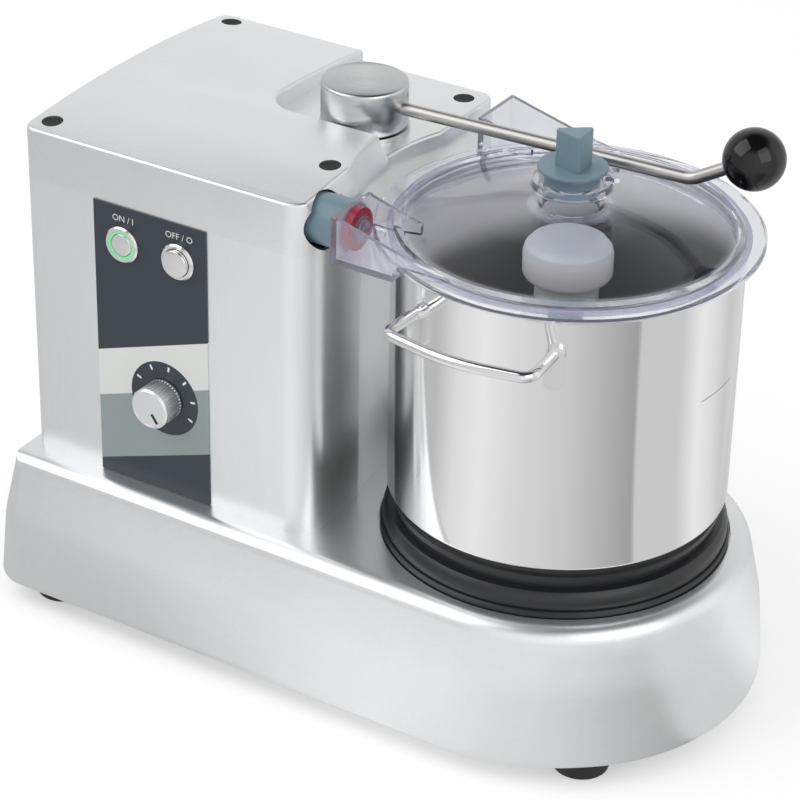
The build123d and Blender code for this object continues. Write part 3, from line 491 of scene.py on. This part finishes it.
def turned(name, profile, steps=160, centre=(BOWL_X, 0.0), closed=True, edge=0.0):
    """Body turned about an upright axis; the profile is a list of (radius, height) in mm."""
    x, y = centre
    bpy.ops.mesh.primitive_plane_add(size=MM, enter_editmode=True, location=(0, 0, 0))
    bpy.ops.mesh.merge(type="CENTER")
    points = [Vector((x + r * MM, y, z * MM)) for r, z in profile]
    bpy.ops.transform.translate(value=points[0])
    for last, point in zip(points, points[1:] + points[:1] * closed):
        bpy.ops.mesh.extrude_region_move(TRANSFORM_OT_translate={"value": point - last})
    bpy.ops.mesh.select_all(action="SELECT")
    bpy.ops.mesh.spin(steps=steps, angle=2 * math.pi, center=(x, y, 0), axis=(0, 0, 1))
    bpy.ops.mesh.select_all(action="SELECT")
    bpy.ops.mesh.remove_doubles(threshold=0.000005)
    bpy.ops.mesh.normals_make_consistent(inside=False)
    return rounded(finished(name), edge)


def pipe(name, points, radius, sides=8):
    """Round wire along a smooth line through the given control points, in mm."""
    bpy.ops.curve.primitive_nurbs_path_add(location=(0, 0, 0))
    wire = bpy.context.object
    spline = wire.data.splines[0]
    spline.points.add(len(points) - len(spline.points))
    for spot, (x, y, z) in zip(spline.points, points):
        spot.co = (x * MM, y * MM, z * MM, 1.0)
    spline.order_u, spline.use_endpoint_u, spline.resolution_u = 3, True, 14
    wire.data.bevel_depth, wire.data.bevel_resolution = radius * MM, sides
    wire.data.use_fill_caps = True
    bpy.ops.object.convert(target="MESH")
    bpy.ops.object.mode_set(mode="EDIT")
    bpy.ops.mesh.select_all(action="SELECT")
    bpy.ops.mesh.remove_doubles(threshold=0.000005)
    bpy.ops.mesh.normals_make_consistent(inside=False)
    return rounded(finished(name), 0)


def stands_for(piece, *nodes, material=None):
    """The piece is what these nodes look like."""
    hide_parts(*nodes)
    return dressed(piece, node_body[nodes[0]], node_slot[nodes[0]], material)


def bowl_pieces():
    """Drawn bowl with its rolled rim, and the tube that the drive shaft comes up in."""
    inner, hole = BOWL_R - BOWL_WALL, TUBE_R - BOWL_WALL
    low, top = BOWL_LOW + BOWL_WALL, BOWL_TOP
    outside = [(hole, BOWL_LOW), (BOWL_R - 4, BOWL_LOW), (BOWL_R - 1.2, BOWL_LOW + 1.2),
               (BOWL_R, BOWL_LOW + 4)]
    rim = [(BOWL_R, top - 4), (BOWL_R + 2, top - 3), (BOWL_R + 2, top - 0.8), (BOWL_R + 1, top),
           (inner, top)]
    inside = [(inner, low + 3), (inner - 1, low + 1), (inner - 3.5, low), (hole, low)]
    stands_for(turned("bowl_wall", outside + rim + inside, 192, edge=0.5), "bowl")
    tube = [(TUBE_R, low), (TUBE_R, TUBE_TOP), (hole, TUBE_TOP), (hole, low)]
    stands_for(turned("bowl_centre_tube", tube, 96, edge=0.3), "bowl_tube")


def handles():
    """Bent wire handles in front of and behind the bowl."""
    line = [(47, 99.4), (48.6, 116), (49.6, 134.0), (36, 136.8), (12, 141.4)]
    line += [(-x, y) for x, y in reversed(line)]
    for side, node in ((-1, "front_handle"), (1, "back_handle")):
        points = [(BOWL_X / MM + x, side * y, HANDLE_Z) for x, y in line]
        stands_for(pipe(node + "_wire", points, HANDLE_WIRE), node)


def lever():
    """Turned hub, bent bar and ball of the lever."""
    hub = [(0, HUB_LOW), (HUB_R - 0.8, HUB_LOW), (HUB_R, HUB_LOW + 0.8), (HUB_R, HUB_TOP - 2.5),
           (HUB_R - 0.3, HUB_TOP - 1.3), (HUB_R - 1.0, HUB_TOP - 0.5), (HUB_R - 2.1, HUB_TOP),
           (0, HUB_TOP)]
    stands_for(turned("lever_hub_turned", hub, 128, (HUB_X, HUB_Y), closed=False, edge=0.35),
               "lever_hub", material=materials["turned_steel"])
    rise = (BALL_Z - BAR_Z) / (BALL_X - BAR_BEND)

    def on_bar(x):
        return (x, (HUB_Y + BAR_SLOPE * (x * MM - HUB_X)) / MM, BAR_Z + rise * max(0, x - BAR_BEND))

    points = [on_bar(x) for x in (-47, 0, 80, 150, 161, BAR_BEND, 181, 201.4)]
    stands_for(pipe("lever_bar", points, BAR_R, 10), "lever_arm",
               material=materials["satin_steel"])
    ball = [v * MM for v in on_bar(BALL_X)]
    bpy.ops.mesh.primitive_uv_sphere_add(segments=96, ring_count=48, radius=BALL_R * MM,
                                         location=ball)
    stands_for(rounded(finished("lever_ball"), 0), "ball_knob")


def rotor():
    """Blade carrier: a sleeve with a round head, and the bore that fits the drive shaft."""
    sleeve = [(16.3, 146), (20.5, 146), (20.5, 286)]
    head = [(23.3, 286), (27.0, 287.5), (28.3, 291), (28.3, 306), (27.1, 310.5), (23.8, 313.8),
            (19.3, 315), (0, 315)]
    bore = [(0, 286), (8, 286), (8, 233), (16.3, 233)]
    stands_for(turned("rotor_hub_moulding", sleeve + head + bore, 128, edge=0.6), "rotor_hub")


def skins():
    """Every node that no modelled piece stands for gets its merged, smooth copy."""
    for name, node in frame["nodes"].items():
        if not node.hide_render:
            slot = special.get(name, node_slot[name])
            smooth_copy(name, material=materials[slot])


bowl_pieces()
handles()
lever()
rotor()
skins()


def label(words, x, z, height=0.0062, film=0.00004):
    """Printed word on the panel, a raised film of ink."""
    bpy.ops.object.text_add(location=(0, 0, 0))
    text = bpy.context.object
    text.data.body = words
    text.data.size = height
    text.data.align_x = text.data.align_y = "CENTER"
    text.data.extrude = film
    text.data.resolution_u = 3
    text.name = "label_" + words.split(" ")[0].lower()
    bpy.ops.object.convert(target="MESH")
    text = bpy.context.object
    upright = Matrix.Rotation(math.pi / 2, 4, "X")
    text.matrix_world = Matrix.Translation((x, PANEL_Y - film, z)) @ upright
    bpy.ops.object.transform_apply(location=True, rotation=True, scale=True)
    text.select_set(False)
    return dressed(text, "base", "panel_print", materials["white_plastic"])


label("ON / I", -0.1514, 0.3009)
label("OFF / O", -0.1080, 0.3004)


# ---- floor, light and camera ---------------------------------------------------------------------

def studio(p, x, y, far):
    """Brightness of the room by direction, close by and far off, as polished metal shows it."""
    turn = (y.angle(x) / (2 * math.pi) + ROOM_TURN).fraction()
    back = ((0.756, 1.0), (0.803, 0.86), (0.847, 0.68), (1.0, 0.86))
    left = ((0.0, 0.86), (0.083, 0.72), (0.194, 0.60))
    close = ((0.256, 0.60), (0.303, 0.88), (0.356, 1.0), (0.425, 0.84), (0.5, 0.73), (0.575, 0.53),
             (0.619, 0.42), (0.625, 0.72), (0.708, 0.72))
    distant = ((0.28, 0.58), (0.327, 0.62), (0.40, 0.84), (0.50, 1.0), (0.60, 0.96), (0.70, 0.80))
    return p.mix(far, *[p.ramp(left + front + back, turn) for front in (close, distant)])


def floor():
    """Pale floor; polished metal sees the room on it."""
    bpy.ops.mesh.primitive_plane_add(size=16, location=(0, 0, -0.0002))
    plane = bpy.context.object
    plane.name = "floor"
    p = Paint("floor_white")
    x, y, _ = p.axes()
    matt = p.shader("ShaderNodeBsdfDiffuse", Color=(0.62, 0.62, 0.62, 1))
    glow = p.shader("ShaderNodeEmission", Color=(1, 1, 1, 1), Strength=0.42)
    shown = p.node("ShaderNodeAddShader", {}, {0: matt, 1: glow})
    plain = p.shader("ShaderNodeBsdfDiffuse", Color=(0.8, 0.8, 0.8, 1))
    base = p.blend(p.rays("Is Camera Ray", "Is Transmission Ray"), plain, shown)
    dx = x - BOWL_X
    far = distance(dx, y).step(0.65, 1.1)
    room = p.shader("ShaderNodeEmission", Color=studio(p, dx, y, far), Strength=0.95)
    plane.data.materials.append(p.close(p.blend(p.rays("Is Glossy Ray"), base, room)))
    plane.select_set(False)


def lamp(name, place, aim, size, power):
    """Soft rectangular lamp turned to its aim."""
    data = bpy.data.lights.new(name, "AREA")
    data.shape = "RECTANGLE"
    data.size, data.size_y = size
    data.energy = power
    lamp_object = bpy.data.objects.new(name, data)
    bpy.context.scene.collection.objects.link(lamp_object)
    lamp_object.location = place
    lamp_object.rotation_euler = (Vector(aim) - Vector(place)).to_track_quat("-Z", "Y").to_euler()


def world():
    """White background, plain soft light, and the room's tones for metal and clear plastic."""
    scene = bpy.context.scene
    scene.world = scene.world or bpy.data.worlds.new("studio")
    p = Paint("studio", scene.world)
    direction = p.node("ShaderNodeTexCoord")
    split = p.node("ShaderNodeSeparateXYZ", {}, {0: direction}).socket.node.outputs
    x, y, up = [Value(p, v) for v in split]
    soft = p.shader("ShaderNodeBackground", Color=(1, 1, 1, 1), Strength=0.75)
    front = (x * TO_VIEWER[0] + y * TO_VIEWER[1]) / (x * x + y * y).most(1e-6).root()
    under_lid = p.rays("Transmission Depth").step(0.2, 0.8)
    dark = up.step(0.60, 0.90).most(up.step(0.22, 0.42) * front.step(-0.5, 0.3) * under_lid)
    tones = p.mix(dark, studio(p, x, y, 1.0), (0.05, 0.055, 0.065, 1))
    room = p.shader("ShaderNodeBackground", Color=tones, Strength=1.0)
    white = p.shader("ShaderNodeBackground", Color=(1, 1, 1, 1), Strength=1.0)
    unseen = p.blend(p.rays("Is Glossy Ray", "Is Transmission Ray"), soft, room)
    p.close(p.blend(p.rays("Is Camera Ray"), unseen, white), "ShaderNodeOutputWorld")


def camera():
    """Camera a little above, in front and to the right."""
    azimuth, height, roll = math.radians(31.149), math.radians(29.704), math.radians(-1.283)
    ahead = Vector((-math.sin(azimuth) * math.cos(height), math.cos(azimuth) * math.cos(height),
                    -math.sin(height)))
    right = Vector((math.cos(azimuth), math.sin(azimuth), 0))
    down = ahead.cross(right)
    side = math.cos(roll) * right + math.sin(roll) * down
    below = -math.sin(roll) * right + math.cos(roll) * down
    data = bpy.data.cameras.new("camera")
    data.sensor_width = 36.0
    data.lens = 133.05
    data.shift_x, data.shift_y = -0.00695, -0.01076
    data.clip_end = 50
    eye = bpy.data.objects.new("camera", data)
    bpy.context.scene.collection.objects.link(eye)
    turn = Matrix((side, -below, -ahead)).transposed().to_4x4()
    eye.matrix_world = Matrix.Translation(CAMERA_PLACE) @ turn
    bpy.context.scene.camera = eye


floor()
lamp("key", (-1.5, -1.2, 2.4), (0, 0, 0.2), (2.6, 2.6), KEY_POWER)
lamp("fill", (1.8, -0.6, 1.6), (0.1, 0, 0.2), (1.6, 1.8), FILL_POWER)
world()
camera()
bpy.context.scene.view_settings.view_transform = "Standard"
